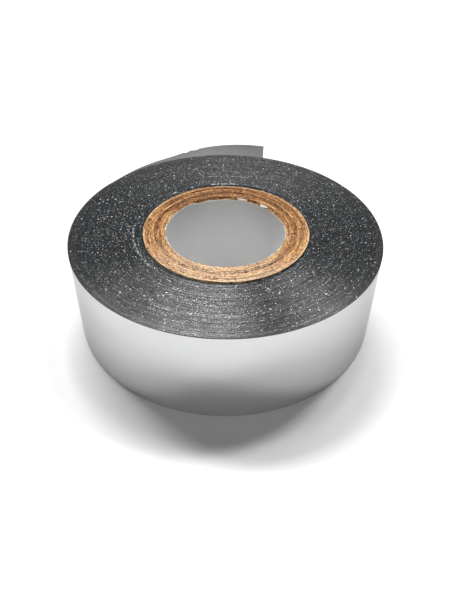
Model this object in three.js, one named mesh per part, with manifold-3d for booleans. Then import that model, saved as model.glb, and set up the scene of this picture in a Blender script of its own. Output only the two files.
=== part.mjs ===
// Roll of adhesive-backed metal foil tape for stained glass work, wound on a paper core.
// Millimetres, +Z up. The origin is on the roll's axis, half way up its width.
// The roll stands on its lower end face. The tape's free end leaves it at the back left.

import * as THREE from 'three';
import { mergeVertices } from 'three/addons/utils/BufferGeometryUtils.js';
import Module from 'manifold-3d';

const wasm = await Module();
wasm.setup();

// Roll
const TAPE_WIDTH = 21.2;
const ROLL_RADIUS = 33.1;
const LEADER_OUTER_RADIUS = 18.5;
const LEADER_RECESS = 0.3;
const FACETS = 72;

// Tape layers, from the inside out. Together with their gaps they make one turn's thickness.
const LINER = 0.023;
const ADHESIVE = 0.023;
const FOIL = 0.023;
const LAYER_GAP = 0.002;
const TURN = LINER + ADHESIVE + FOIL + 3 * LAYER_GAP;

// Paper core
const BORE_RADIUS = 12.7;
const CORE_RADIUS = 17.6;
const CORE_RECESS = 0.1;
const PLY_GAP = 0.02;
const SEAM_GAP = 0.3;
const SEAM_SLANT = 32;

// Adhesive tab that holds the tape's first end on the core
const TAB_THICKNESS = 0.08;
const TAB_CLEARANCE = 0.02;
const TAB_WIDTH = 15;
const TAB_FACETS = 9;
const TAB_TURN = 160;

// Free end of the tape. Lengths are measured along it from the line where it leaves the roll.
const DEPARTURE_ANGLE = 141.2;
const PEEL_TURN = 6.1;
const NEAR_LENGTH = 17;
const BEND_TURN = 16.2;
const FAR_RADIUS = 24.2;
const LIFT_AT = 31;
const TAIL_LENGTH = 42;
const TAIL_CLEARANCE = 0.1;
const TAIL_EDGE_RECESS = 0.1;
const HINGE_GAP = 0.3;
const TAIL_STEP = 2.8;

// Each ply of the core, from the bore outwards: outer radius, paper, and the angle of its butt seam.
const PLIES = [
  { name: 'core_liner_ply', outer: 12.95, paper: 'greyPaper', seam: 265 },
  { name: 'core_ply_1', outer: 13.55, paper: 'lightKraft', seam: 250 },
  { name: 'core_ply_2', outer: 14.15, paper: 'lightKraft', seam: 20 },
  { name: 'core_ply_3', outer: 14.65, paper: 'darkKraft', seam: 140 },
  { name: 'core_ply_4', outer: 15.2, paper: 'darkKraft', seam: 310 },
  { name: 'core_ply_5', outer: 15.8, paper: 'lightKraft', seam: 195 },
  { name: 'core_ply_6', outer: 16.4, paper: 'lightKraft', seam: 100 },
  { name: 'core_ply_7', outer: 16.95, paper: 'darkKraft', seam: 345 },
  { name: 'core_outer_ply', outer: CORE_RADIUS, paper: 'paleKraft', seam: 225 },
];

const FINISHES = {
  foil: { color: 0xcdd0d2, roughness: 0.28, metalness: 1 },
  adhesive: { color: 0x9a9c9b, roughness: 0.35, metalness: 0 },
  linerFilm: { color: 0x85888a, roughness: 0.4, metalness: 0 },
  windingEdge: { color: 0x55575a, roughness: 0.45, metalness: 0.6 },
  leaderFilm: { color: 0x3c4046, roughness: 0.4, metalness: 0 },
  tabTape: { color: 0xd9d6cc, roughness: 0.6, metalness: 0 },
  greyPaper: { color: 0x9c9a96, roughness: 0.8, metalness: 0 },
  lightKraft: { color: 0xc69a72, roughness: 0.9, metalness: 0 },
  darkKraft: { color: 0xa27252, roughness: 0.9, metalness: 0 },
  paleKraft: { color: 0xd8b58d, roughness: 0.85, metalness: 0 },
};

const roll = new THREE.Group();

function radians(degrees) {
  return THREE.MathUtils.degToRad(degrees);
}

function polar(radius, degrees) {
  const angle = radians(degrees);
  return new THREE.Vector2(radius * Math.cos(angle), radius * Math.sin(angle));
}

function addPiece(name, finish, geometry) {
  const mesh = new THREE.Mesh(geometry, new THREE.MeshStandardMaterial(FINISHES[finish]));
  mesh.name = name;
  roll.add(mesh);
}

// A plan outline raised from the roll's lower end to its upper end, less a recess at each end.
function raise(outline, recess) {
  const height = TAPE_WIDTH - 2 * recess;
  const geometry = new THREE.ExtrudeGeometry(outline, { depth: height, bevelEnabled: false });
  geometry.translate(0, 0, -height / 2);
  return geometry;
}

function circlePoints(radius) {
  return Array.from({ length: FACETS }, (_, i) => polar(radius, DEPARTURE_ANGLE + (360 * i) / FACETS));
}

// One turn of a spiral, clockwise from the departure line, that gains one tape thickness.
function turnPoints(startRadius) {
  return Array.from({ length: FACETS + 1 }, (_, i) => {
    const share = i / FACETS;
    return polar(startRadius + TURN * share, DEPARTURE_ANGLE - 360 * share);
  });
}

function ring(inner, outer, recess) {
  const outline = new THREE.Shape(circlePoints(outer));
  outline.holes.push(new THREE.Path(circlePoints(inner)));
  return raise(outline, recess);
}

function toManifold(geometry) {
  const bare = geometry.clone();
  bare.deleteAttribute('normal');
  bare.deleteAttribute('uv');
  const merged = mergeVertices(bare);
  return new wasm.Manifold(
    new wasm.Mesh({
      numProp: 3,
      vertProperties: new Float32Array(merged.attributes.position.array),
      triVerts: new Uint32Array(merged.index.array),
    }),
  );
}

function toGeometry(solid) {
  const mesh = solid.getMesh();
  const geometry = new THREE.BufferGeometry();
  geometry.setAttribute('position', new THREE.BufferAttribute(mesh.vertProperties, 3));
  geometry.setIndex(new THREE.BufferAttribute(mesh.triVerts, 1));
  return geometry;
}

// The strip of paper that makes a ply meets itself in a slanted butt seam.
function seamCutter(seam) {
  const reach = 2 * CORE_RADIUS;
  const cutter = new THREE.BoxGeometry(reach, SEAM_GAP, 2 * TAPE_WIDTH);
  cutter.rotateX(radians(SEAM_SLANT));
  cutter.translate(reach / 2, 0, 0);
  cutter.rotateZ(radians(seam));
  return cutter;
}

function ply(inner, outer, seam) {
  const whole = toManifold(ring(inner, outer, CORE_RECESS));
  return toGeometry(whole.subtract(toManifold(seamCutter(seam))));
}

function buildCore() {
  let inner = BORE_RADIUS;
  for (const { name, outer, paper, seam } of PLIES) {
    addPiece(name, paper, ply(inner, outer, seam));
    inner = outer + PLY_GAP;
  }
}

function buildTapeStart() {
  const tabInner = CORE_RADIUS + TAB_CLEARANCE;
  const tabOuter = tabInner + TAB_THICKNESS;
  const angleAt = (i) => DEPARTURE_ANGLE - TAB_TURN - (360 * i) / FACETS;
  const face = (radius) => Array.from({ length: TAB_FACETS + 1 }, (_, i) => polar(radius, angleAt(i)));
  const tab = new THREE.Shape([...face(tabOuter), ...face(tabInner).reverse()]);
  addPiece('starter_tab', 'tabTape', raise(tab, (TAPE_WIDTH - TAB_WIDTH) / 2));
  addPiece('leader_wraps', 'leaderFilm', ring(tabOuter + TAB_CLEARANCE, LEADER_OUTER_RADIUS, LEADER_RECESS));
}

function buildWinding() {
  const outline = new THREE.Shape(turnPoints(ROLL_RADIUS - 2 * TURN - LAYER_GAP));
  outline.holes.push(new THREE.Path(circlePoints(LEADER_OUTER_RADIUS + PLY_GAP)));
  addPiece('wound_tape', 'windingEdge', raise(outline, 0));
}

const LAYERS = [
  { layer: 'liner', finish: 'linerFilm', from: 0, thickness: LINER },
  { layer: 'adhesive', finish: 'adhesive', from: LINER + LAYER_GAP, thickness: ADHESIVE },
  { layer: 'foil', finish: 'foil', from: LINER + ADHESIVE + 2 * LAYER_GAP, thickness: FOIL },
];

// The last whole turn on the roll, in its three layers, ends just short of the departure line.
function buildOuterTurn() {
  const innermost = ROLL_RADIUS - 2 * TURN;
  const endAngle = DEPARTURE_ANGLE + THREE.MathUtils.radToDeg(HINGE_GAP / 2 / ROLL_RADIUS);
  const face = (radius) => [...turnPoints(radius).slice(0, -1), polar(radius + TURN, endAngle)];
  for (const { layer, finish, from, thickness } of LAYERS) {
    const inside = face(innermost + from);
    const outside = face(innermost + from + thickness);
    const outline = new THREE.Shape([...outside, ...inside.reverse()]);
    addPiece(`outer_turn_${layer}`, finish, raise(outline, 0));
  }
}

// A run of the free end that curls clockwise. The heading is its direction in plan, in radians.
class Run {
  constructor(start, heading, radius) {
    this.heading = heading;
    this.radius = radius;
    this.centre = start.clone().addScaledVector(Run.outward(heading), -radius);
  }

  static outward(heading) {
    return new THREE.Vector2(-Math.sin(heading), Math.cos(heading));
  }

  headingAt(distance) {
    return this.heading - distance / this.radius;
  }

  pointAt(distance, offset) {
    const outward = Run.outward(this.headingAt(distance));
    return this.centre.clone().addScaledVector(outward, this.radius + offset);
  }

  strip(distances, inside, outside) {
    const face = (offset) => distances.map((distance) => this.pointAt(distance, offset));
    return raise(new THREE.Shape([...face(outside), ...face(inside).reverse()]), TAIL_EDGE_RECESS);
  }
}

// Even distances along a run. Layers that lie on each other share them, so their facets line up.
function stretch(from, to) {
  const steps = Math.ceil((to - from) / TAIL_STEP);
  return Array.from({ length: steps + 1 }, (_, i) => from + ((to - from) * i) / steps);
}

function buildFreeEnd() {
  const innerRadius = ROLL_RADIUS - TURN + TAIL_CLEARANCE;
  const tangent = radians(DEPARTURE_ANGLE - 90);
  const near = new Run(polar(innerRadius, DEPARTURE_ANGLE), tangent + radians(PEEL_TURN), innerRadius);
  const bend = near.pointAt(NEAR_LENGTH, 0);
  const far = new Run(bend, near.headingAt(NEAR_LENGTH) + radians(BEND_TURN), FAR_RADIUS);

  const clear = HINGE_GAP / 2;
  const liftStart = LIFT_AT - NEAR_LENGTH;
  const nearStretch = stretch(clear, NEAR_LENGTH - clear);
  const farStretch = stretch(clear, liftStart - clear);
  const endStretch = stretch(liftStart + clear, TAIL_LENGTH - NEAR_LENGTH);
  for (const { layer, finish, from, thickness } of LAYERS) {
    const to = from + thickness;
    addPiece(`tail_near_${layer}`, finish, near.strip(nearStretch, from, to));
    if (layer === 'liner') {
      addPiece('tail_far_liner', finish, far.strip([...farStretch, ...endStretch], from, to));
    } else {
      addPiece(`tail_far_${layer}`, finish, far.strip(farStretch, from, to));
      addPiece(`tail_end_${layer}`, finish, far.strip(endStretch, from, to));
    }
  }
}

buildCore();
buildTapeStart();
buildWinding();
buildOuterTurn();
buildFreeEnd();

export default roll;
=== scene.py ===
"""Foil tape roll: looks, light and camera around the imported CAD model. Metres, +Z up, origin mid-roll."""

import math

import bpy
import numpy as np
from mathutils import Matrix, Vector


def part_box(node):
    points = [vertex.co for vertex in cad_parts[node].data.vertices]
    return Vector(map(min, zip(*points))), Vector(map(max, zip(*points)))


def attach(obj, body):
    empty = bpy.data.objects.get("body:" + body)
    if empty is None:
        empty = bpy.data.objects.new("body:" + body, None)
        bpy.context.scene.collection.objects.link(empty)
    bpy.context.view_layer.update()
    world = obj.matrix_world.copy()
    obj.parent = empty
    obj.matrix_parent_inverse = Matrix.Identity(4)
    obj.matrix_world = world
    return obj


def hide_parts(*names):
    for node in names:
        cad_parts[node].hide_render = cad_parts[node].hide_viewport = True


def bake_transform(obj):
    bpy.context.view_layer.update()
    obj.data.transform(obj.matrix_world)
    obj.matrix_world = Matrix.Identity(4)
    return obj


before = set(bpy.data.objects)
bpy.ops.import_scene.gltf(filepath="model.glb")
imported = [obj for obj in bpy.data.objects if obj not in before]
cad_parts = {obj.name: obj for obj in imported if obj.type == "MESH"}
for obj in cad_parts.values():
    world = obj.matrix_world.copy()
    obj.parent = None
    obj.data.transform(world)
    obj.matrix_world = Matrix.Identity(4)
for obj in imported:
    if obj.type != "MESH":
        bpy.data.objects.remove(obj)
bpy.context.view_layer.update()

MM = 0.001
# Keeps a number that is divided by above nothing
TINY = 1e-9

# Seeds of the random draws. Each ply and each bed of fibres adds its number to the first one's.
SEEDS = {"winding": 7, "leader": 11, "chips": 13, "plies": 20, "fibres": 40, "scraps": 61, "nicks": 71}

# Sizes that part.mjs sets, in millimetres
ROLL_RADIUS = 33.1
CORE_RADIUS = 17.6
BORE_RADIUS = 12.7
LEADER_INNER = 17.72
LEADER_OUTER = 18.5
LEADER_RECESS = 0.3
CORE_RECESS = 0.1
HALF_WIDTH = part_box("wound_tape")[1].z / MM
LAYER = 0.023
LAYER_GAP = 0.002
TURN = 3 * (LAYER + LAYER_GAP)
PLY_GAP = 0.02
SEAM_GAP = 0.3
SEAM_SLANT = math.radians(32)
DEPARTURE = math.radians(141.2)

# Free end: arc lengths from the line where it leaves the roll
PEEL_TURN = math.radians(6.1)
BEND_TURN = math.radians(16.2)
NEAR_LENGTH = 17.0
FAR_RADIUS = 24.2
LIFT_AT = 31.0
TAIL_LENGTH = 42.0
TAIL_RECESS = 0.1
# The free end springs this far off the roll even when it is pressed back
SPRING_TURN = math.radians(0.35)

# Name, outer radius, paper and seam angle in degrees of each core ply, from the bore outwards
PLIES = (
    ("core_liner_ply", 12.95, "grey_paper", 265),
    ("core_ply_1", 13.55, "light_kraft", 250),
    ("core_ply_2", 14.15, "light_kraft", 20),
    ("core_ply_3", 14.65, "mid_kraft", 140),
    ("core_ply_4", 15.2, "dark_kraft", 310),
    ("core_ply_5", 15.8, "light_kraft", 195),
    ("core_ply_6", 16.4, "light_kraft", 100),
    ("core_ply_7", 16.95, "mid_kraft", 345),
    ("core_outer_ply", CORE_RADIUS, "pale_kraft", 225),
)


# ---------------------------------------------------------------- node helpers


def new_material(name):
    material = bpy.data.materials.new(name)
    material.use_nodes = True
    tree = material.node_tree
    tree.nodes.clear()
    output = tree.nodes.new("ShaderNodeOutputMaterial")
    shader = tree.nodes.new("ShaderNodeBsdfPrincipled")
    tree.links.new(shader.outputs["BSDF"], output.inputs["Surface"])
    return material, tree, shader


def feed(tree, socket, value):
    """Links another node's output to an input, or sets the input to a value. A colour is an RGB triple."""
    if isinstance(value, bpy.types.NodeSocket):
        tree.links.new(value, socket)
    elif socket.type == "RGBA":
        socket.default_value = (*value, 1)
    else:
        socket.default_value = value


def add_node(tree, kind, settings=None, **inputs):
    """Adds a node. Its inputs go by name, with underscores for spaces, or by number after the letter i."""
    node = tree.nodes.new("ShaderNode" + kind)
    for key, value in (settings or {}).items():
        setattr(node, key, value)
    for key, value in inputs.items():
        number = key[1:]
        feed(tree, node.inputs[int(number) if number.isdigit() else key.replace("_", " ")], value)
    return node


def maths(tree, operation, first, second=0.0, third=0.0):
    return add_node(tree, "Math", {"operation": operation}, i0=first, i1=second, i2=third).outputs[0]


def vector_maths(tree, operation, first, second=(0.0, 0.0, 0.0)):
    """Gives a vector, or a number where the operation gives one."""
    node = add_node(tree, "VectorMath", {"operation": operation}, i0=first, i1=second)
    return node.outputs["Value" if operation in ("LENGTH", "DOT_PRODUCT") else "Vector"]


def remap(tree, value, low, high, to_low=0.0, to_high=1.0, smooth=False):
    """Takes the range from low to high to another range, and holds its ends beyond it."""
    settings = {"interpolation_type": "SMOOTHSTEP" if smooth else "LINEAR"}
    ends = {"From_Min": low, "From_Max": high, "To_Min": to_low, "To_Max": to_high}
    return add_node(tree, "MapRange", settings, Value=value, **ends).outputs[0]


def ramp(tree, factor, stops):
    """Colour ramp with (position, colour) stops. A colour is a grey or an RGB triple."""
    node = add_node(tree, "ValToRGB", Fac=factor)
    elements = node.color_ramp.elements
    while len(elements) < len(stops):
        elements.new(0.5)
    for element, (position, colour) in zip(elements, stops):
        triple = (colour,) * 3 if isinstance(colour, float) else colour
        element.position = position
        element.color = (*triple, 1)
    return node.outputs["Color"]


def two_tone(tree, factor, dark, light, low=0.35, high=0.65):
    """From dark, where the factor is low, to light, where it is high."""
    return ramp(tree, factor, ((low, dark), (high, light)))


def mix(tree, factor, first, second, blend="MIX"):
    settings = {"data_type": "RGBA", "blend_type": blend}
    return add_node(tree, "Mix", settings, i0=factor, i6=first, i7=second).outputs[2]


def object_position(tree):
    return add_node(tree, "TexCoord").outputs["Object"]


def cylindrical(tree, around, across, along):
    """Length around the roll, radius and height in millimetres, each times its scale."""
    split = add_node(tree, "SeparateXYZ", Vector=object_position(tree))
    x, y, z = split.outputs
    squares = [maths(tree, "MULTIPLY", axis, axis) for axis in (x, y)]
    radius = maths(tree, "SQRT", maths(tree, "ADD", *squares))
    angle = maths(tree, "ARCTAN2", y, x)
    joined = add_node(
        tree,
        "CombineXYZ",
        X=maths(tree, "MULTIPLY", angle, CORE_RADIUS * around),
        Y=maths(tree, "MULTIPLY", radius, across / MM),
        Z=maths(tree, "MULTIPLY", z, along / MM),
    )
    return joined.outputs[0]


def noise(tree, vector, scale, detail=2.0, roughness=0.5):
    """Noise with about as many cells as the scale in each unit of the vector, a metre for positions."""
    node = add_node(tree, "TexNoise", Vector=vector, Scale=scale, Detail=detail, Roughness=roughness)
    return node.outputs["Fac"]


def wound_noise(tree, around, across, along, detail, roughness, scale=1.0):
    """Noise that follows the roll's turns. A smaller number draws it out further that way."""
    return noise(tree, cylindrical(tree, around, across, along), scale, detail, roughness)


def plan_polar(tree):
    """A point's distance from the roll's axis, in millimetres, and its direction from it in plan."""
    flat = vector_maths(tree, "MULTIPLY", object_position(tree), (1 / MM, 1 / MM, 0))
    return vector_maths(tree, "LENGTH", flat), vector_maths(tree, "NORMALIZE", flat)


def band(tree, radius, inner, outer, edge):
    """1 between two radii in millimetres, 0 elsewhere, with a soft edge."""
    rise = remap(tree, radius, inner - edge, inner + edge, smooth=True)
    fall = remap(tree, radius, outer + edge, outer - edge, smooth=True)
    return maths(tree, "MULTIPLY", rise, fall)


def bump(tree, shader, height, distance, strength):
    """Raises the surface by up to a distance in millimetres."""
    node = add_node(tree, "Bump", Height=height, Distance=distance * MM, Strength=strength)
    tree.links.new(node.outputs["Normal"], shader.inputs["Normal"])


def set_shader(tree, shader, **values):
    for key, value in values.items():
        feed(tree, shader.inputs[key.replace("_", " ")], value)


# ---------------------------------------------------------------- wound edges

EDGE_DARK = (0.012, 0.013, 0.014)
EDGE_LIGHT = (0.033, 0.035, 0.037)
EDGE_RIM = (0.070, 0.073, 0.077)
MOTTLE_DARK = 0.35
MOTTLE_LIGHT = 1.6
MOTTLE_SHARE = 0.5
EDGE_METAL = (0.21, 0.215, 0.22)
EDGE_GLINT = (0.68, 0.70, 0.71)
LAST_TURNS_DARK = (0.006, 0.006, 0.007)

# Roughness of the edges, and what their grain, their streaks and the last turns add to it
EDGE_ROUGHNESS = 0.06
GRAIN_ROUGHNESS = 0.08
STREAK_ROUGHNESS = 0.26
LAST_TURNS_ROUGHNESS = 0.4

# Widths in millimetres of the rim, the last turns, the stretch at the core where less foil is bare, and of
# the soft edges
RIM_BAND = 1.2
LAST_TURNS = 0.25
LESS_BARE = 2
SOFT_EDGE = 0.15
LAST_TURNS_EDGE = 0.05

# How far the rim turns pale and loses specks, and the last turns turn dark. Then how much foil is bare at
# the core, and how bright specks are at the rim, as shares of the most.
RIM_PALENESS = 0.1
RIM_SPECK_LOSS = 0.1
LAST_TURNS_SHADE = 0.8
BARE_AT_CORE = 0.45
SPECKS_AT_RIM = 0.6

# Layers of specks of foil burr, painted bright as glints: width of a cell, share of the cells that have a
# speck, its size, and brightness
BURR_GLINT_SPECKS = ((0.22, 0.22, 0.11, 0.9), (0.36, 0.26, 0.13, 1.3), (0.9, 0.36, 0.17, 1.8))
SMALLEST_SPECK = 0.4

# Broken arcs of painted glint: azimuth and half width in degrees, inner and outer radius, and strength
GLINT_ARCS = (
    (200, 26, 19.35, 19.8, 0.7),
    (92, 11, 18.5, 18.9, 1.9),
    (132, 5, 18.5, 18.9, 1.1),
    (88, 14, 22.2, 22.6, 0.6),
)


def speck_mask(tree, cell, share, size):
    """Round specks, one at most in each cell of the given width in millimetres, on a share of the cells.
    Returns the mask and a random level for each speck."""
    scale = 1 / (cell * MM)
    voronoi = add_node(tree, "TexVoronoi", Vector=object_position(tree), Scale=scale, Randomness=1.0)
    choice, growth, level = add_node(tree, "SeparateColor", Color=voronoi.outputs["Color"]).outputs
    chosen = maths(tree, "LESS_THAN", choice, share)
    growth = maths(tree, "MULTIPLY_ADD", growth, 1 - SMALLEST_SPECK, SMALLEST_SPECK)
    reach = maths(tree, "MULTIPLY", growth, size / cell)
    inside = maths(tree, "LESS_THAN", voronoi.outputs["Distance"], reach)
    return maths(tree, "MULTIPLY", chosen, inside), level


def charcoal(tree, streaks, grain, rim):
    """Dark colour of the edges, streaked all round and a little paler at the rim."""
    base = two_tone(tree, streaks, EDGE_DARK, EDGE_LIGHT)
    mottle = two_tone(tree, grain, MOTTLE_DARK, MOTTLE_LIGHT)
    base = mix(tree, MOTTLE_SHARE, base, mottle, "MULTIPLY")
    return mix(tree, maths(tree, "MULTIPLY", rim, RIM_PALENESS), base, EDGE_RIM)


def bare_threads(tree, radius, grain):
    """Threads of bare foil along the turns, fainter next to the core."""
    threads = wound_noise(tree, around=0.35, across=9.0, along=0.0, detail=2.0, roughness=0.7)
    threads = remap(tree, threads, 0.52, 0.62)
    crumbs = remap(tree, grain, 0.42, 0.58)
    bared = remap(tree, radius, LEADER_OUTER, LEADER_OUTER + LESS_BARE, to_low=BARE_AT_CORE)
    return maths(tree, "MULTIPLY", maths(tree, "MULTIPLY", threads, crumbs), bared)


def burr_glint_specks(tree, radius, rim):
    """Specks of foil burr of several sizes, painted bright as glints, brighter towards the core."""
    glint = None
    for cell, share, size, brightness in BURR_GLINT_SPECKS:
        mask, level = speck_mask(tree, cell, share, size)
        layer = maths(tree, "MULTIPLY", mask, maths(tree, "MULTIPLY", level, brightness))
        glint = layer if glint is None else maths(tree, "MAXIMUM", glint, layer)
    inwards = remap(tree, radius, LEADER_OUTER, ROLL_RADIUS, to_low=1.0, to_high=SPECKS_AT_RIM)
    glint = maths(tree, "MULTIPLY", glint, inwards)
    return maths(tree, "MULTIPLY", glint, maths(tree, "MULTIPLY_ADD", rim, -RIM_SPECK_LOSS, 1.0))


def glint_arc_mask(tree, radius, outwards, azimuth, half_width, inner, outer):
    """1 along an arc of a ring, fading out at its two ends."""
    toward = (math.cos(math.radians(azimuth)), math.sin(math.radians(azimuth)), 0)
    side = vector_maths(tree, "DOT_PRODUCT", outwards, toward)
    edge = math.cos(math.radians(half_width))
    arc = remap(tree, side, edge, (1 + edge) / 2)
    return maths(tree, "MULTIPLY", arc, band(tree, radius, inner, outer, SOFT_EDGE))


def add_glint_arcs(tree, radius, outwards, glint):
    """Adds broken arcs of painted glint to the specks."""
    arc_breakup = noise(tree, object_position(tree), scale=2800.0, detail=2.0, roughness=0.6)
    arc_breakup = remap(tree, arc_breakup, 0.51, 0.62)
    # Each arc adds painted glint, broken up by noise
    for azimuth, half_width, inner, outer, strength in GLINT_ARCS:
        arc_glint = glint_arc_mask(tree, radius, outwards, azimuth, half_width, inner, outer)
        arc_glint = maths(tree, "MULTIPLY", arc_glint, maths(tree, "MULTIPLY", arc_breakup, strength))
        glint = maths(tree, "MAXIMUM", glint, arc_glint)
    return glint


def winding_edge_material():
    """Sheared edges of the turns: charcoal, brushed all round, with specks of foil burr and broken arcs, both
    painted bright as glints.
    """
    material, tree, shader = new_material("winding_edge")
    radius, outwards = plan_polar(tree)
    streaks = wound_noise(tree, around=0.12, across=4.5, along=0.0, detail=3.0, roughness=0.7)
    grain = noise(tree, object_position(tree), scale=4500.0, detail=2.0, roughness=0.7)
    rim = band(tree, radius, ROLL_RADIUS - RIM_BAND, ROLL_RADIUS + RIM_BAND, SOFT_EDGE)
    metal = bare_threads(tree, radius, grain)
    base = mix(tree, metal, charcoal(tree, streaks, grain, rim), EDGE_METAL)
    glint = add_glint_arcs(tree, radius, outwards, burr_glint_specks(tree, radius, rim))
    # Painted glints: the specks and arcs are mixed in as a pale grey colour
    colour = mix(tree, glint, base, EDGE_GLINT)

    last_turns = band(tree, radius, ROLL_RADIUS - LAST_TURNS, ROLL_RADIUS + RIM_BAND, LAST_TURNS_EDGE)
    shade = maths(tree, "MULTIPLY", last_turns, LAST_TURNS_SHADE)
    roughness = maths(tree, "MULTIPLY_ADD", grain, GRAIN_ROUGHNESS, EDGE_ROUGHNESS)
    roughness = maths(tree, "MULTIPLY_ADD", streaks, STREAK_ROUGHNESS, roughness)
    roughness = maths(tree, "MULTIPLY_ADD", last_turns, LAST_TURNS_ROUGHNESS, roughness)
    set_shader(
        tree,
        shader,
        Base_Color=mix(tree, shade, colour, LAST_TURNS_DARK),
        Roughness=roughness,
        Metallic=metal,
        Anisotropic=0.8,
        Tangent=outwards,
    )
    bump(tree, shader, grain, distance=0.015, strength=0.8)
    return material


# ---------------------------------------------------------------- foil, film and leader

BURR_DARK = (0.35, 0.36, 0.37)
BURR_BRIGHT = (0.9, 0.92, 0.93)

FOIL_DARK = (0.675, 0.68, 0.685)
FOIL_LIGHT = (0.705, 0.71, 0.715)
FOIL_GLANCE = (0.55, 0.55, 0.55)
FOIL_ROUGHNESS = 0.24
SMUDGE_ROUGHNESS = 0.04

# The leader film is painted near black, partly as the shade in the gap between core and tape
LEADER_DARK_AND_SHADE = (0.004, 0.006, 0.008)
LEADER_LIGHT = (0.024, 0.031, 0.036)
LEADER_SPECK = (0.40, 0.50, 0.55)

CUT_END_GREY = (0.22, 0.22, 0.225)
# The free end's film greys along X, from this far before the roll's axis to this far past it
CUT_END_REACH = 6.0


def burr_material():
    """Bright chips of foil."""
    material, tree, shader = new_material("foil_burr")
    shade = noise(tree, object_position(tree), scale=2500.0)
    colour = two_tone(tree, shade, BURR_DARK, BURR_BRIGHT, low=0.3, high=0.7)
    set_shader(tree, shader, Base_Color=colour, Roughness=0.35, Metallic=0.6)
    return material


def foil_material():
    """Tin-coloured foil, satin, with faint rolling lines and smudges."""
    material, tree, shader = new_material("foil")
    lines = wound_noise(tree, around=0.03, across=0.0, along=5.0, detail=3.0, roughness=0.6)
    smudges = noise(tree, object_position(tree), scale=70.0, detail=3.0, roughness=0.55)
    colour = two_tone(tree, smudges, FOIL_DARK, FOIL_LIGHT, low=0.3, high=0.7)
    roughness = maths(tree, "MULTIPLY_ADD", smudges, SMUDGE_ROUGHNESS, FOIL_ROUGHNESS)
    set_shader(tree, shader, Base_Color=colour, Metallic=0.8, Roughness=roughness, Specular_Tint=FOIL_GLANCE)
    bump(tree, shader, maths(tree, "MULTIPLY_ADD", lines, 0.25, smudges), distance=0.01, strength=0.5)
    return material


def film_material(name, dark, light, roughness, greying):
    """Smooth plastic film, or a layer of adhesive, with faint lengthwise streaks. Towards the cut end of the
    tape, along X, it greys by a share."""
    material, tree, shader = new_material(name)
    streaks = wound_noise(tree, around=0.05, across=0.3, along=2.5, detail=3.0, roughness=0.6)
    clouds = noise(tree, object_position(tree), scale=120.0, detail=3.0)
    tone = maths(tree, "MULTIPLY", maths(tree, "ADD", streaks, clouds), 0.5)
    colour = two_tone(tree, tone, dark, light)
    x = add_node(tree, "SeparateXYZ", Vector=object_position(tree)).outputs["X"]
    grey = remap(tree, x, -CUT_END_REACH * MM, CUT_END_REACH * MM, to_high=greying)
    colour = mix(tree, grey, colour, CUT_END_GREY)
    set_shader(tree, shader, Base_Color=colour, Roughness=roughness, Metallic=0.0)
    bump(tree, shader, streaks, distance=0.02, strength=0.4)
    return material


def leader_material():
    """Dark blue-grey film, painted darker still as the shade in the gap between core and tape, with specks of
    foil.
    """
    material, tree, shader = new_material("leader_film")
    rings = wound_noise(tree, around=0.4, across=8.0, along=0.0, detail=3.0, roughness=0.7)
    base = two_tone(tree, rings, LEADER_DARK_AND_SHADE, LEADER_LIGHT)
    specks, level = speck_mask(tree, cell=0.3, share=0.5, size=0.14)
    colour = mix(tree, maths(tree, "MULTIPLY", specks, level), base, LEADER_SPECK)
    set_shader(tree, shader, Base_Color=colour, Roughness=0.5, Specular_IOR_Level=0.25)
    return material


# ---------------------------------------------------------------- paper

LINING_DARK = (0.71, 0.71, 0.71)
LINING_LIGHT = (0.76, 0.76, 0.755)
BROKEN_END_AND_SHEEN = (0.97, 0.89, 0.76)
GAP_SHADE = 0.3

# The side of the core painted palest, as a sheen, and where pale broken fibre ends show, as a direction in
# plan
SHEEN_SIDE = (-0.1, -0.995, 0)

# The board's tone is fibres and clumps of them, plus a painted sheen towards SHEEN_SIDE and painted shade
# away from it, and what the pale rim adds
FIBRE_SHARE = 0.62
CLUMP_SHARE = 0.38
AWAY_SIDE_SHADE = -0.018
SHEEN_SIDE_PALENESS = 0.042
PALE_RIM = 0.05
PALE_RIM_EDGE = 0.05


def paper_tone(tree, fibres, radius, side, pale_from):
    """How light the board is at a point."""
    clumps = wound_noise(tree, around=0.11, across=2.4, along=0.3, detail=3.0, roughness=0.6)
    tone = maths(tree, "MULTIPLY_ADD", fibres, FIBRE_SHARE, maths(tree, "MULTIPLY", clumps, CLUMP_SHARE))
    # Painted sheen on the side towards SHEEN_SIDE, painted shade on the side away from it
    sheen_and_shade = remap(tree, side, -1.0, 1.0, to_low=AWAY_SIDE_SHADE, to_high=SHEEN_SIDE_PALENESS)
    rim = remap(tree, radius, pale_from - PALE_RIM_EDGE, pale_from + PALE_RIM_EDGE, to_high=PALE_RIM)
    return maths(tree, "ADD", tone, maths(tree, "ADD", sheen_and_shade, rim))


def broken_ends_and_sheen(tree, side):
    """Where pale broken ends of fibres show, only on the side towards SHEEN_SIDE, where they also serve as
    painted sheen.
    """
    ends = wound_noise(tree, around=1.4, across=4.2, along=1.4, detail=2.0, roughness=0.7, scale=1.3)
    ends = remap(tree, ends, 0.5, 0.57)
    return maths(tree, "MULTIPLY", ends, remap(tree, side, 0.4, 1.0, to_high=0.6))


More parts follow.
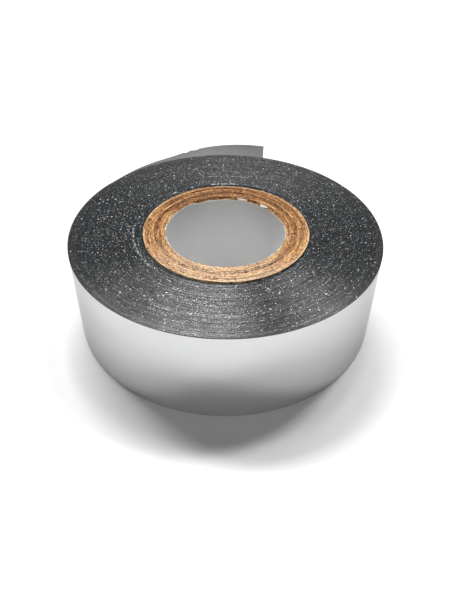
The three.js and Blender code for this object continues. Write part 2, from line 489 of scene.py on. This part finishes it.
def paper_material(name, dark, light, pale, pale_from):
    """Kraft board: short fibres that run around the tube, with dark gaps and paler broken ends, painted paler
    as a sheen on one side and darker as shade on the other. The paper is pale beyond a radius in millimetres."""
    material, tree, shader = new_material(name)
    radius, outwards = plan_polar(tree)
    side = vector_maths(tree, "DOT_PRODUCT", outwards, SHEEN_SIDE)
    fibres = wound_noise(tree, around=1.1, across=5.6, along=1.9, detail=3.0, roughness=0.75)
    tone = paper_tone(tree, fibres, radius, side, pale_from)
    colour = ramp(tree, tone, ((0.42, dark), (0.51, light), (0.59, pale)))
    gaps = wound_noise(tree, around=0.8, across=6.0, along=1.9, detail=2.0, roughness=0.7)
    gaps = two_tone(tree, gaps, GAP_SHADE, 1.0, low=0.34, high=0.44)
    colour = mix(tree, 1.0, colour, gaps, "MULTIPLY")
    # Pale broken fibre ends, partly painted sheen
    colour = mix(tree, broken_ends_and_sheen(tree, side), colour, BROKEN_END_AND_SHEEN)
    set_shader(tree, shader, Base_Color=colour, Roughness=0.6, Specular_IOR_Level=0.2)
    bump(tree, shader, fibres, distance=0.08, strength=0.6)
    return material


def liner_paper_material():
    """Smooth grey paper that lines the bore."""
    material, tree, shader = new_material("grey_paper")
    grain = noise(tree, object_position(tree), scale=2500.0, detail=3.0, roughness=0.6)
    clouds = noise(tree, object_position(tree), scale=90.0, detail=3.0)
    tone = maths(tree, "ADD", maths(tree, "MULTIPLY", grain, 0.4), maths(tree, "MULTIPLY", clouds, 0.6))
    colour = two_tone(tree, tone, LINING_DARK, LINING_LIGHT)
    set_shader(tree, shader, Base_Color=colour, Roughness=0.7)
    bump(tree, shader, grain, distance=0.01, strength=0.5)
    return material


# Films: dark and light colour, roughness, and how far they grey towards the cut end
FILMS = {
    "adhesive": ((0.28, 0.285, 0.28), (0.34, 0.345, 0.34), 0.3, 0.0),
    "liner_film": ((0.82, 0.825, 0.83), (0.90, 0.905, 0.91), 0.35, 0.45),
    "tab_tape": ((0.6, 0.58, 0.52), (0.7, 0.68, 0.62), 0.6, 0.0),
}

# Boards: dark, light and pale colour, and the radius beyond which they are pale
PAPERS = {
    "light_kraft": ((0.11, 0.035, 0.009), (0.36, 0.152, 0.046), (0.76, 0.46, 0.19), CORE_RADIUS),
    "mid_kraft": ((0.08, 0.024, 0.007), (0.28, 0.108, 0.032), (0.66, 0.37, 0.14), CORE_RADIUS),
    "dark_kraft": ((0.05, 0.014, 0.004), (0.20, 0.068, 0.019), (0.54, 0.27, 0.10), CORE_RADIUS),
    "pale_kraft": ((0.13, 0.045, 0.014), (0.38, 0.170, 0.058), (0.80, 0.54, 0.28), 17.5),
    "torn_paper": ((0.45, 0.30, 0.18), (0.74, 0.62, 0.47), (0.92, 0.87, 0.78), CORE_RADIUS),
    "torn_scrap": ((0.62, 0.56, 0.50), (0.88, 0.86, 0.83), (0.94, 0.93, 0.92), CORE_RADIUS),
}

MATERIALS = {
    "foil": foil_material(),
    "foil_burr": burr_material(),
    "winding_edge": winding_edge_material(),
    "leader_film": leader_material(),
    "grey_paper": liner_paper_material(),
}
MATERIALS.update({name: film_material(name, *look) for name, look in FILMS.items()})
MATERIALS.update({name: paper_material(name, *look) for name, look in PAPERS.items()})


# ---------------------------------------------------------------- mesh helpers


def add_piece(name, mesh):
    """Puts a mesh in the scene as a piece."""
    piece = bpy.data.objects.new(name, mesh)
    bpy.context.scene.collection.objects.link(piece)
    return piece


def sweep_mesh(name, points, slot, closed, sharp_degrees=30, side_slots=None):
    """Skins a grid of points in millimetres, (steps along, points of the section, 3), closed around the
    section. The grid joins up end to end if closed, and is capped otherwise. side_slots gives another slot to
    some sides of the section."""
    steps, section = points.shape[:2]
    index = np.arange(steps * section).reshape(steps, section)
    here, ahead = (index, np.roll(index, -1, axis=0)) if closed else (index[:-1], index[1:])
    corners = [here, ahead, np.roll(ahead, -1, axis=1), np.roll(here, -1, axis=1)]
    quads = np.stack(corners, axis=-1).reshape(-1, 4)
    faces = [tuple(quad) for quad in quads.tolist()]
    caps = [] if closed else [tuple(index[0].tolist()), tuple(index[-1][::-1].tolist())]
    mesh = bpy.data.meshes.new(name)
    mesh.from_pydata((points.reshape(-1, 3) * MM).tolist(), [], faces + caps)
    side_slots = side_slots or {}
    slots = [slot] + sorted(set(side_slots.values()) - {slot})
    for key in slots:
        mesh.materials.append(MATERIALS[key])
    sides = [slots.index(side_slots.get(side, slot)) for side in range(section)]
    mesh.polygons.foreach_set("material_index", sides * len(here) + [0] * len(caps))
    mesh.shade_smooth()
    mesh.set_sharp_from_angle(angle=math.radians(sharp_degrees))
    mesh.update()
    return add_piece(name, mesh)


def loose_mesh(name, points, faces, slot):
    """One mesh of many small closed bodies. Points are in millimetres."""
    mesh = bpy.data.meshes.new(name)
    mesh.from_pydata((np.array(points) * MM).tolist(), [], faces)
    mesh.materials.append(MATERIALS[slot])
    mesh.update()
    return add_piece(name, mesh)


def add_sweep_faces(faces, start, steps, sides):
    """Faces of a small capped body whose section has a number of points and is repeated along it."""
    for i in range(steps):
        for j in range(sides):
            near = start + sides * i + j
            beside = start + sides * i + (j + 1) % sides
            faces.append((near, near + sides, beside + sides, beside))
    last = start + sides * steps
    faces.append(tuple(range(start, start + sides)))
    faces.append(tuple(range(last + sides - 1, last - 1, -1)))


def smoothstep(values):
    values = np.clip(values, 0, 1)
    return values * values * (3 - 2 * values)


def smooth_noise(rng, count, waves):
    """A periodic curve of count values, with random waves up to a number of cycles, about 1 high."""
    turn = np.linspace(0, 2 * math.pi, count, endpoint=False)
    total = np.zeros(count)
    for cycles in range(1, waves + 1):
        total += rng.normal() * np.sin(cycles * turn + rng.uniform(0, 2 * math.pi)) / math.sqrt(cycles)
    return total / max(TINY, np.abs(total).max())


def ring_grid(angles, radii, heights):
    """Points of a ring: angles (steps,), radii and heights (steps, section) or (section,)."""
    angles = np.asarray(angles)
    if angles.ndim == 1:
        angles = angles[:, None]
    shape = np.broadcast_shapes(angles.shape, np.shape(radii), np.shape(heights))
    angles = np.broadcast_to(angles, shape)
    return np.stack(
        [np.cos(angles) * radii, np.sin(angles) * radii, np.broadcast_to(heights, shape)], axis=-1
    )


# ---------------------------------------------------------------- wound tape

WINDING_STEPS = 240
WINDING_INNER = LEADER_OUTER + PLY_GAP
WINDING_OUTER = ROLL_RADIUS - 2 * TURN - LAYER_GAP
WINDING_TURNS = round((WINDING_OUTER - WINDING_INNER) / TURN)
RIDGE = 0.009
TERRACE = 0.03
TERRACE_CHANCE = 0.15
WANDER = 0.006
WANDER_WAVES = 5
WANDER_KNOTS = 24


def ridge_heights(rng):
    """How far each turn's edge stands below the end face, all round, in millimetres."""
    fine = rng.uniform(0, 1, WINDING_TURNS) * RIDGE
    jumps = rng.normal(0, 1, WINDING_TURNS) * (rng.uniform(0, 1, WINDING_TURNS) < TERRACE_CHANCE)
    steps = np.cumsum(jumps)
    coarse = (steps - steps.min()) / max(TINY, np.ptp(steps)) * TERRACE
    wander = np.stack([smooth_noise(rng, WINDING_STEPS, WANDER_WAVES) for _ in range(WANDER_KNOTS)])
    knots = np.linspace(0, WINDING_TURNS, WANDER_KNOTS)
    strength = np.stack([np.interp(np.arange(WINDING_TURNS), knots, column) for column in wander.T])
    depth = fine[None, :] + coarse[None, :] + WANDER * (1 + strength)
    return depth - depth.min()


def build_winding():
    rng = np.random.default_rng(SEEDS["winding"])
    radii = np.linspace(WINDING_INNER, WINDING_OUTER, WINDING_TURNS)
    top = HALF_WIDTH - ridge_heights(rng)
    bottom = -HALF_WIDTH + ridge_heights(rng)
    all_radii = np.concatenate([radii, radii[::-1]])
    heights = np.concatenate([top, bottom[:, ::-1]], axis=1)
    angles = np.linspace(0, 2 * math.pi, WINDING_STEPS, endpoint=False)
    grid = ring_grid(angles, all_radii, heights)[:, ::-1]
    piece = sweep_mesh("winding", grid, "winding_edge", closed=True, sharp_degrees=1)
    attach(piece, "roll")
    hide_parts("wound_tape")


CHIP_COUNT = 700
CHIP_LENGTH = (0.12, 0.4)
CHIP_WIDTH = (0.05, 0.12)
CHIP_LIFT = (0.01, 0.03)
CHIP_SCATTER = 0.5
# How far from the leader the chips start, how much narrower than the winding their ring is, and how much they
# crowd towards the core
CHIP_START = 0.3
CHIP_MARGIN = 1.2
CHIP_CROWDING = 1.7
CHIP_FACES = ((0, 2, 4), (2, 1, 4), (1, 3, 4), (3, 0, 4), (2, 0, 5), (1, 2, 5), (3, 1, 5), (0, 3, 5))


def chip_points(rng, end):
    """The six corners of a sliver that lies on an end face, 1 for the upper and -1 for the lower."""
    spread = WINDING_OUTER - LEADER_OUTER - CHIP_MARGIN
    radius = LEADER_OUTER + CHIP_START + spread * rng.uniform() ** CHIP_CROWDING
    angle = rng.uniform(0, 2 * math.pi)
    heading = angle + math.pi / 2 + rng.normal(0, CHIP_SCATTER)
    length = rng.uniform(*CHIP_LENGTH) / 2
    width = rng.uniform(*CHIP_WIDTH) / 2
    lift = rng.uniform(*CHIP_LIFT)
    middle = np.array([radius * math.cos(angle), radius * math.sin(angle), end * (HALF_WIDTH - lift)])
    along = np.array([math.cos(heading), math.sin(heading), 0]) * length
    across = np.array([-math.sin(heading), math.cos(heading), 0]) * width
    tall = np.array([0, 0, lift])
    return [point for step in (along, across, -tall) for point in (middle - step, middle + step)]


def build_chips():
    """Slivers of foil that the slitting knife left on both ends, more of them near the core."""
    rng = np.random.default_rng(SEEDS["chips"])
    points, faces = [], []
    for end in (1, -1):
        for _ in range(CHIP_COUNT):
            start = len(points)
            points += chip_points(rng, end)
            faces += [tuple(start + corner for corner in face) for face in CHIP_FACES]
    piece = loose_mesh("foil_chips", points, faces, "foil_burr")
    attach(piece, "roll")


# ---------------------------------------------------------------- core

PLY_STEPS = 540
PLY_SHARP = 40
END_ROWS = 5
# Shares of a wall's height where it has a row of points, two of them close to its ragged ends
WALL_SHARES = np.array((0.015, 0.33, 0.67, 0.985))
WALL_ROWS = len(WALL_SHARES)
# How ragged each paper's end is, and how far it stands below the core's end, in millimetres
FRAY = {"grey_paper": 0.3, "light_kraft": 0.2, "mid_kraft": 0.2, "dark_kraft": 0.16, "pale_kraft": 0.14}
LEVEL = {"grey_paper": 0.1, "light_kraft": 0.02, "mid_kraft": 0.06, "dark_kraft": 0.14, "pale_kraft": 0.0}
# The fray is a slow drift, ends of fibres a few steps wide and narrow gaps, each with its part
DRIFT_WAVES = 14
FIBRE_STEPS = 9
GAP_SHARPNESS = 6
DRIFT_PART = 0.35
FIBRE_PART = 0.9
GAP_PART = 0.4

# Where paper has come away from the bore's rim: azimuth, half width in degrees and depth. Then how much of
# that depth each row of a ply's end has lost, from the bore outwards.
RIM_TEAR = (98, 62, 0.45)
TORN_ROWS = {"core_liner_ply": (1, 1, 1, 1, 1), "core_ply_1": (1, 0.9, 0.1, 0, 0)}
TEAR_WAVES = 40
TEAR_MEAN = 0.8
TEAR_SWING = 0.3
TEAR_FADE = 15

# How far the outer paper's cut edge turns over the leader or back from it, in millimetres: its mean, its
# swing round the core, and the azimuth where it turns over most
RIM_FLARE = 0.08
RIM_SWING = 0.17
RIM_FLARE_AT = math.radians(75)
RIM_WAVES = 60
RIM_RAGGED = 0.5


def torn_depth(rng, seam):
    """How far down the paper has come away, for each step round a ply."""
    middle, half_width, depth = RIM_TEAR
    azimuths = seam + np.linspace(0, 360, PLY_STEPS + 1)
    away = np.abs((azimuths - middle + 180) % 360 - 180)
    ragged = TEAR_MEAN + TEAR_SWING * smooth_noise(rng, PLY_STEPS + 1, TEAR_WAVES)
    return depth * ragged * smoothstep((half_width - away) / TEAR_FADE)


def frayed_end(rng, paper):
    """Depth below the core's end, for each step round and each row across the ply."""
    rows = np.zeros((PLY_STEPS + 1, END_ROWS))
    drift = 0.5 + 0.5 * smooth_noise(rng, PLY_STEPS + 1, DRIFT_WAVES)
    average = np.ones(FIBRE_STEPS) / FIBRE_STEPS
    for row in range(END_ROWS):
        fibres = np.convolve(rng.uniform(0, 1, PLY_STEPS + FIBRE_STEPS), average, "valid")
        gaps = rng.uniform(0, 1, PLY_STEPS + 1) ** GAP_SHARPNESS
        ragged = DRIFT_PART * drift + FIBRE_PART * fibres + GAP_PART * gaps
        rows[:, row] = LEVEL[paper] + FRAY[paper] * ragged
    return rows


def flare_rim(rng, radii, seam):
    """Turns the outer paper's two cut edges over the leader."""
    azimuths = math.radians(seam) + np.linspace(0, 2 * math.pi, PLY_STEPS + 1)
    ragged = 1 + RIM_RAGGED * smooth_noise(rng, PLY_STEPS + 1, RIM_WAVES)
    for row in (END_ROWS - 1, END_ROWS + WALL_ROWS):
        radii[:, row] += ragged * (RIM_FLARE + RIM_SWING * np.cos(azimuths - RIM_FLARE_AT))


def torn_sides(section):
    """The slot of the sides of a section that are its upper and lower end."""
    upper = range(section - END_ROWS, section - 1)
    lower = range(WALL_ROWS, WALL_ROWS + END_ROWS - 1)
    return {side: "torn_paper" for side in (*upper, *lower)}


def build_ply(name, inner, outer, paper, seam, seed):
    rng = np.random.default_rng(seed)
    end = HALF_WIDTH - PLY_GAP
    across = np.linspace(inner, outer, END_ROWS)
    top = end - frayed_end(rng, paper)
    bottom = -end + frayed_end(rng, paper)
    if name in TORN_ROWS:
        top -= torn_depth(rng, seam)[:, None] * TORN_ROWS[name]
    outer_wall = top[:, -1:] + (bottom[:, -1:] - top[:, -1:]) * WALL_SHARES
    inner_wall = bottom[:, :1] + (top[:, :1] - bottom[:, :1]) * WALL_SHARES
    heights = np.concatenate([top, outer_wall, bottom[:, ::-1], inner_wall], axis=1)
    radii = np.concatenate([across, np.full(WALL_ROWS, outer), across[::-1], np.full(WALL_ROWS, inner)])
    radii = np.tile(radii, (PLY_STEPS + 1, 1))
    if outer == CORE_RADIUS:
        flare_rim(rng, radii, seam)
    gap = SEAM_GAP / outer
    around = np.linspace(gap / 2, 2 * math.pi - gap / 2, PLY_STEPS + 1)[:, None]
    angles = math.radians(seam) + around - math.tan(SEAM_SLANT) * heights / outer
    grid = ring_grid(angles, radii, heights)[:, ::-1]
    torn = torn_sides(radii.shape[1]) if paper == "grey_paper" else None
    piece = sweep_mesh(name + "_paper", grid, paper, closed=False, sharp_degrees=PLY_SHARP, side_slots=torn)
    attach(piece, "roll")
    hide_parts(name)


# Loose fibres: count, slot, radii, azimuths in degrees, length and thickness
FIBRES = (
    (420, "torn_paper", (12.9, 17.5), (180, 360), (0.4, 1.5), (0.04, 0.09)),
    (150, "torn_paper", (12.8, 17.5), (0, 360), (0.4, 1.3), (0.03, 0.08)),
    (260, "light_kraft", (13.0, 17.4), (0, 360), (0.4, 1.4), (0.04, 0.10)),
    (200, "dark_kraft", (13.0, 17.2), (0, 360), (0.4, 1.2), (0.04, 0.10)),
    (150, "torn_paper", (12.75, 13.05), (120, 330), (0.3, 0.9), (0.05, 0.12)),
    (200, "torn_paper", (15.9, 17.5), (290, 306), (0.4, 1.2), (0.08, 0.18)),
    (60, "torn_paper", (16.7, 17.5), (232, 250), (0.4, 1.2), (0.06, 0.12)),
    (60, "torn_paper", (13.1, 14.0), (215, 300), (0.4, 1.2), (0.05, 0.12)),
)
FIBRE_STATIONS = 5
FIBRE_SCATTER = 0.22
FIBRE_BEND = 0.8
FIBRE_TAPER = 0.35
FIBRE_SINK = 0.06


def fibre(rng, radius, angle, length, thickness, height):
    """A loose paper fibre: a bent three-sided thread that lies roughly around the tube."""
    runs = FIBRE_STATIONS - 1
    heading = angle + math.pi / 2 + rng.normal(0, FIBRE_SCATTER)
    bend = rng.normal(0, FIBRE_BEND)
    at = np.array([radius * math.cos(angle), radius * math.sin(angle)])
    points = []
    for i in range(FIBRE_STATIONS):
        width = thickness * (FIBRE_TAPER if i in (0, runs) else 1.0)
        side = np.array([-math.sin(heading), math.cos(heading)]) * width / 2
        level = height - thickness - rng.uniform(0, thickness)
        points += [(*(at + side), level), (*(at - side), level), (*at, level + width)]
        at = at + np.array([math.cos(heading), math.sin(heading)]) * length / runs
        heading += bend / runs
    faces = []
    add_sweep_faces(faces, 0, runs, 3)
    return points, faces


def fibre_bed(rng, count, radii, azimuths, lengths, thicknesses):
    """Points and faces of loose fibres on both ends of the core."""
    points, faces = [], []
    for end in (1, -1):
        for _ in range(count):
            radius = rng.uniform(*radii)
            angle = math.radians(rng.uniform(*azimuths))
            length = rng.uniform(*lengths)
            thickness = rng.uniform(*thicknesses)
            height = HALF_WIDTH - CORE_RECESS - rng.uniform(0, FIBRE_SINK)
            new_points, new_faces = fibre(rng, radius, angle, length, thickness, height)
            start = len(points)
            points += [(x, y, end * z) for x, y, z in new_points]
            faces += [tuple(start + corner for corner in face[::end]) for face in new_faces]
    return points, faces


def build_fibres():
    for number, (count, slot, *ranges) in enumerate(FIBRES):
        rng = np.random.default_rng(SEEDS["fibres"] + number)
        points, faces = fibre_bed(rng, count, *ranges)
        piece = loose_mesh(f"loose_fibres_{number + 1}", points, faces, slot)
        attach(piece, "roll")


# Scraps of lining paper torn at the bore's rim: azimuth and half width in degrees, then how far each hangs
# down and how far it leans into the bore
SCRAPS = (
    (73, 5.5, 0.2, 0.5),
    (48, 4.2, 0.8, 0.9),
    (354, 3.0, 0.6, 0.35),
    (178, 3.0, 0.5, 0.35),
    (196, 2.5, 0.3, 0.3),
)
SCRAP_STEPS = 14
SCRAP_THICKNESS = 0.05
SCRAP_SINK = 0.08
SCRAP_ROOT = 0.25
# A scrap's size at its two ends as a share of that in its middle, and its least size where it is ragged
SCRAP_END_SHARE = 0.25
RAGGED_HANG = 0.75
RAGGED_REACH = 0.7
# Where a scrap bends down: shares of its reach and of its hang
SCRAP_BEND = (0.6, 0.2)


def scrap_section(lean, drop):
    """Radii and heights of a scrap that leans from the rim into the bore and hangs down, as a loop."""
    rim = BORE_RADIUS + SCRAP_ROOT
    top = HALF_WIDTH - CORE_RECESS - SCRAP_SINK
    bend_radius = rim - SCRAP_BEND[0] * lean
    bend_height = top - SCRAP_BEND[1] * drop
    return (
        (rim, top),
        (bend_radius, bend_height),
        (rim - lean, top - drop),
        (rim - lean + SCRAP_THICKNESS, top - drop),
        (bend_radius, bend_height - SCRAP_THICKNESS),
        (rim, top - SCRAP_THICKNESS),
    )


def build_scraps():
    rng = np.random.default_rng(SEEDS["scraps"])
    points, faces = [], []
    for azimuth, half_width, hang, reach in SCRAPS:
        start = len(points)
        for i in range(SCRAP_STEPS + 1):
            share = i / SCRAP_STEPS
            angle = math.radians(azimuth + half_width * (2 * share - 1))
            swell = SCRAP_END_SHARE + (1 - SCRAP_END_SHARE) * math.sin(math.pi * share) ** 0.5
            drop = hang * swell * rng.uniform(RAGGED_HANG, 1.0)
            lean = reach * swell * rng.uniform(RAGGED_REACH, 1.0)
            section = scrap_section(lean, drop)
            points += [(radius * math.cos(angle), radius * math.sin(angle), z) for radius, z in section]
        add_sweep_faces(faces, start, SCRAP_STEPS, len(section))
    piece = loose_mesh("torn_lining", points, faces, "torn_scrap")
    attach(piece, "roll")


def build_core():
    inner = BORE_RADIUS
    for number, (name, outer, paper, seam) in enumerate(PLIES):
        build_ply(name, inner, outer, paper, seam, SEEDS["plies"] + number)
        inner = outer + PLY_GAP


# How far the leader is below its mean level at the core, and above it at the tape
LEADER_SLOPE = 0.25
LEADER_WAVE = 0.025
LEADER_WAVES = 6
LEADER_ROWS = 9
LEADER_STEPS = 240


def build_leader():
    rng = np.random.default_rng(SEEDS["leader"])
    radii = np.linspace(LEADER_INNER, LEADER_OUTER, LEADER_ROWS)
    waves = np.stack([smooth_noise(rng, LEADER_STEPS, LEADER_WAVES) for _ in radii], axis=1)
    depth = LEADER_WAVE * waves + LEADER_RECESS + LEADER_SLOPE * np.linspace(1, -1, LEADER_ROWS)
    heights = np.concatenate([HALF_WIDTH - depth, -HALF_WIDTH + depth[:, ::-1]], axis=1)
    angles = np.linspace(0, 2 * math.pi, LEADER_STEPS, endpoint=False)
    grid = ring_grid(angles, np.concatenate([radii, radii[::-1]]), heights)[:, ::-1]
    piece = sweep_mesh("leader", grid, "leader_film", closed=True)
    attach(piece, "roll")
    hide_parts("leader_wraps")


# ---------------------------------------------------------------- last turn and free end

LAYERS = (
    ("liner", "liner_film", 0.0),
    ("adhesive", "adhesive", LAYER + LAYER_GAP),
    ("foil", "foil", 2 * (LAYER + LAYER_GAP)),
)
# The free end is three spans of strip. These are lengths along it: where the spans start, where its bends
# over the first and last joint end, and how long its kinks are.
SPAN_1_START = -4.0
SPAN_2_START = NEAR_LENGTH / 2
SPAN_3_START = 24.0
PEEL_END = 6.0
LIFT_END = LIFT_AT + 5.0
KINK_WIDTH = 7.0
STRIP_STEP = 0.4
PATH_STEP = 0.05
HEIGHT_ROWS = 13
# Sides of a layer's section that are the sheared edges of the tape
END_FACES = {HEIGHT_ROWS - 1: "winding_edge", 2 * HEIGHT_ROWS - 1: "winding_edge"}
TURN_STEPS = 360


def layer_section(inner, outer, half_height):
    """Offsets and heights of a layer's section, as a loop."""
    rows = np.linspace(-half_height, half_height, HEIGHT_ROWS)
    offsets = np.concatenate([np.full(HEIGHT_ROWS, outer), np.full(HEIGHT_ROWS, inner)])
    return offsets, np.concatenate([rows, rows[::-1]])


def build_outer_turn():
    """The last whole turn, clockwise from the departure line to where the free end's first span starts."""
    reach = 2 * math.pi + SPAN_1_START / (ROLL_RADIUS - TURN)
    share = np.linspace(0, reach, TURN_STEPS + 1)
    for layer, slot, start in LAYERS:
        inner = ROLL_RADIUS - 2 * TURN + start
        offsets, heights = layer_section(inner, inner + LAYER, HALF_WIDTH)
        radii = offsets[None, :] + TURN * share[:, None] / (2 * math.pi)
        grid = ring_grid(DEPARTURE - share, radii, heights)[:, ::-1]
        piece = sweep_mesh(f"last_turn_{layer}", grid, slot, closed=False, side_slots=END_FACES)
        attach(piece, "roll")
        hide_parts(f"outer_turn_{layer}")


def free_end_path(distances):
    """Points and outward normals of the free end's inner face, at distances along it."""
    along = np.arange(SPAN_1_START, TAIL_LENGTH + PATH_STEP, PATH_STEP)
    radius = ROLL_RADIUS - TURN
    curl = np.where(along < NEAR_LENGTH, 1 / radius, 1 / FAR_RADIUS)
    heading = DEPARTURE - math.pi / 2 - SPAN_1_START / radius - np.cumsum(curl) * PATH_STEP
    for place, turn in ((0.0, PEEL_TURN + SPRING_TURN), (NEAR_LENGTH, BEND_TURN - SPRING_TURN)):
        heading += turn * smoothstep((along - place) / KINK_WIDTH + 0.5)
    start = DEPARTURE - SPAN_1_START / radius
    x = radius * math.cos(start) + (np.cumsum(np.cos(heading)) - math.cos(heading[0])) * PATH_STEP
    y = radius * math.sin(start) + (np.cumsum(np.sin(heading)) - math.sin(heading[0])) * PATH_STEP
    x, y, heading = (np.interp(distances, along, values) for values in (x, y, heading))
    return np.stack([x, y], axis=1), np.stack([-np.sin(heading), np.cos(heading)], axis=1)


def build_strip(name, slot, inner, start, end):
    distances = np.linspace(start, end, int((end - start) / STRIP_STEP) + 1)
    points, normals = free_end_path(distances)
    edge = HALF_WIDTH - TAIL_RECESS * smoothstep((distances - SPAN_1_START) / -SPAN_1_START)
    offsets, rows = layer_section(inner, inner + LAYER, 1.0)
    plan = points[:, None, :] + normals[:, None, :] * offsets[None, :, None]
    heights = edge[:, None] * rows[None, :]
    grid = np.concatenate([plan, heights[..., None]], axis=2)[:, ::-1]
    return sweep_mesh(name, grid, slot, closed=False)


def blend_over(piece, start, end):
    """Bakes a piece's transform into its mesh. The free end's path between the two places along it is worked
    out but not used."""
    points, _ = free_end_path(np.array([start, end]))
    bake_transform(piece)


# Nicks where the backing is frayed white on the free end's top edge: distance along it, length and depth
NICKS = ((20.6, 0.5, 0.5), (21.3, 0.9, 0.25), (23.4, 1.1, 0.3), (24.3, 0.5, 0.2))
NICK_STEPS = 6
NICK_PROUD = 0.35
NICK_LEAST = 0.02
NICK_RAGGED = 0.5


def build_nicks():
    """Torn slivers of backing that stand proud of the free end's inner face along its top edge."""
    rng = np.random.default_rng(SEEDS["nicks"])
    points, faces = [], []
    top = HALF_WIDTH - TAIL_RECESS
    for place, length, depth in NICKS:
        start = len(points)
        share = np.linspace(0, 1, NICK_STEPS + 1)
        plan, normals = free_end_path(place + length * (share - 0.5))
        ragged = rng.uniform(NICK_RAGGED, 1.0, NICK_STEPS + 1)
        drops = depth * np.sin(math.pi * share) ** 0.5 * ragged + NICK_LEAST
        for at, normal, drop in zip(plan, normals, drops):
            proud = at - normal * NICK_PROUD
            points += [(*proud, top), (*at, top), (*at, top - drop)]
        add_sweep_faces(faces, start, NICK_STEPS, 3)
    piece = loose_mesh("tail_nicks", points, faces, "torn_scrap")
    blend_over(piece, NEAR_LENGTH, SPAN_3_START)


def build_free_end():
    for layer, slot, start in LAYERS:
        first = build_strip(f"tail_root_{layer}", slot, start, SPAN_1_START, SPAN_2_START)
        blend_over(first, 0.0, PEEL_END)
        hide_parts(f"tail_near_{layer}")
        second = build_strip(f"tail_middle_{layer}", slot, start, SPAN_2_START, SPAN_3_START)
        blend_over(second, NEAR_LENGTH, SPAN_3_START)
        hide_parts(f"tail_far_{layer}")
        third = build_strip(f"tail_tip_{layer}", slot, start, SPAN_3_START, TAIL_LENGTH)
        if layer == "liner":
            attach(third, "tail_far")
        else:
            blend_over(third, LIFT_AT, LIFT_END)
            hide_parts(f"tail_end_{layer}")


# ---------------------------------------------------------------- stage, light and camera

CAMERA_PLACE = (0.0, -104.7, 82.92)
CAMERA_PITCH = math.radians(41.51)
CAMERA_YAW = math.radians(0.11)
CAMERA_ROLL = math.radians(0.46)
CAMERA_LENS = 35.48
SENSOR_WIDTH = 36


def build_camera():
    data = bpy.data.cameras.new("camera")
    data.lens = CAMERA_LENS
    data.sensor_width = SENSOR_WIDTH
    data.clip_start = MM
    camera = bpy.data.objects.new("camera", data)
    bpy.context.scene.collection.objects.link(camera)
    forward = Vector(
        (
            math.sin(CAMERA_YAW) * math.cos(CAMERA_PITCH),
            math.cos(CAMERA_YAW) * math.cos(CAMERA_PITCH),
            -math.sin(CAMERA_PITCH),
        )
    )
    level = Vector((math.cos(CAMERA_YAW), -math.sin(CAMERA_YAW), 0))
    upright = level.cross(forward)
    right = level * math.cos(CAMERA_ROLL) + upright * math.sin(CAMERA_ROLL)
    up = right.cross(forward)
    turn = Matrix((right, up, -forward)).transposed()
    camera.matrix_world = Matrix.Translation(Vector(CAMERA_PLACE) * MM) @ turn.to_4x4()
    bpy.context.scene.camera = camera


# Softboxes: azimuth from +X, elevation, width and height in degrees, and radiance
SOFTBOX_DISTANCE = 6.0
SOFTBOXES = {
    "back": (106, 59, 42, 9, 31),
    "back_high": (78, 68, 14, 9, 31),
    "right": (50, 59, 14, 9, 63),
    "right_low": (64, 50, 14, 9, 11),
    "left_low": (134, 50, 14, 9, 40),
    "front": (270, 60, 14, 9, 22),
}


def build_lights():
    for name, (azimuth, elevation, width, height, radiance) in SOFTBOXES.items():
        around, up = math.radians(azimuth), math.radians(elevation)
        data = bpy.data.lights.new(name, "AREA")
        data.shape = "RECTANGLE"
        data.size = 2 * SOFTBOX_DISTANCE * math.cos(up) * math.tan(math.radians(width / 2))
        data.size_y = 2 * SOFTBOX_DISTANCE * math.tan(math.radians(height / 2))
        data.energy = math.pi * data.size * data.size_y * radiance
        light = bpy.data.objects.new(name, data)
        bpy.context.scene.collection.objects.link(light)
        place = Vector((math.cos(up) * math.cos(around), math.cos(up) * math.sin(around), math.sin(up)))
        light.location = place * SOFTBOX_DISTANCE
        light.rotation_euler = (-place).to_track_quat("-Z", "Y").to_euler()


FLOOR_REACH = 1.5


def build_stage():
    material, tree, shader = new_material("floor")
    grain = noise(tree, object_position(tree), scale=400.0)
    colour = two_tone(tree, grain, 0.90, 0.91, low=0.3, high=0.7)
    set_shader(tree, shader, Base_Color=colour, Roughness=0.9)
    mesh = bpy.data.meshes.new("floor")
    low = -HALF_WIDTH * MM
    corners = [(x * FLOOR_REACH, y * FLOOR_REACH, low) for x, y in ((-1, -1), (1, -1), (1, 1), (-1, 1))]
    mesh.from_pydata(corners, [], [(0, 1, 2, 3)])
    mesh.materials.append(material)
    floor = bpy.data.objects.new("floor", mesh)
    bpy.context.scene.collection.objects.link(floor)


# How bright the surroundings are as light on the roll, and as the backdrop behind it
AMBIENT = 0.02
BACKDROP = 0.9


def build_world():
    scene = bpy.context.scene
    world = bpy.data.worlds.new("world")
    world.use_nodes = True
    tree = world.node_tree
    background = tree.nodes["Background"]
    background.inputs["Color"].default_value = (1, 1, 1, 1)
    seen = add_node(tree, "LightPath").outputs["Is Camera Ray"]
    strength = maths(tree, "MULTIPLY_ADD", seen, BACKDROP - AMBIENT, AMBIENT)
    tree.links.new(strength, background.inputs["Strength"])
    scene.world = world
    scene.view_settings.view_transform = "Standard"


build_camera()
build_stage()
build_lights()
build_world()
build_winding()
build_chips()
build_core()
build_fibres()
build_scraps()
build_leader()
build_outer_turn()
build_free_end()
build_nicks()

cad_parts["starter_tab"].data.materials.clear()
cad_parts["starter_tab"].data.materials.append(MATERIALS["tab_tape"])
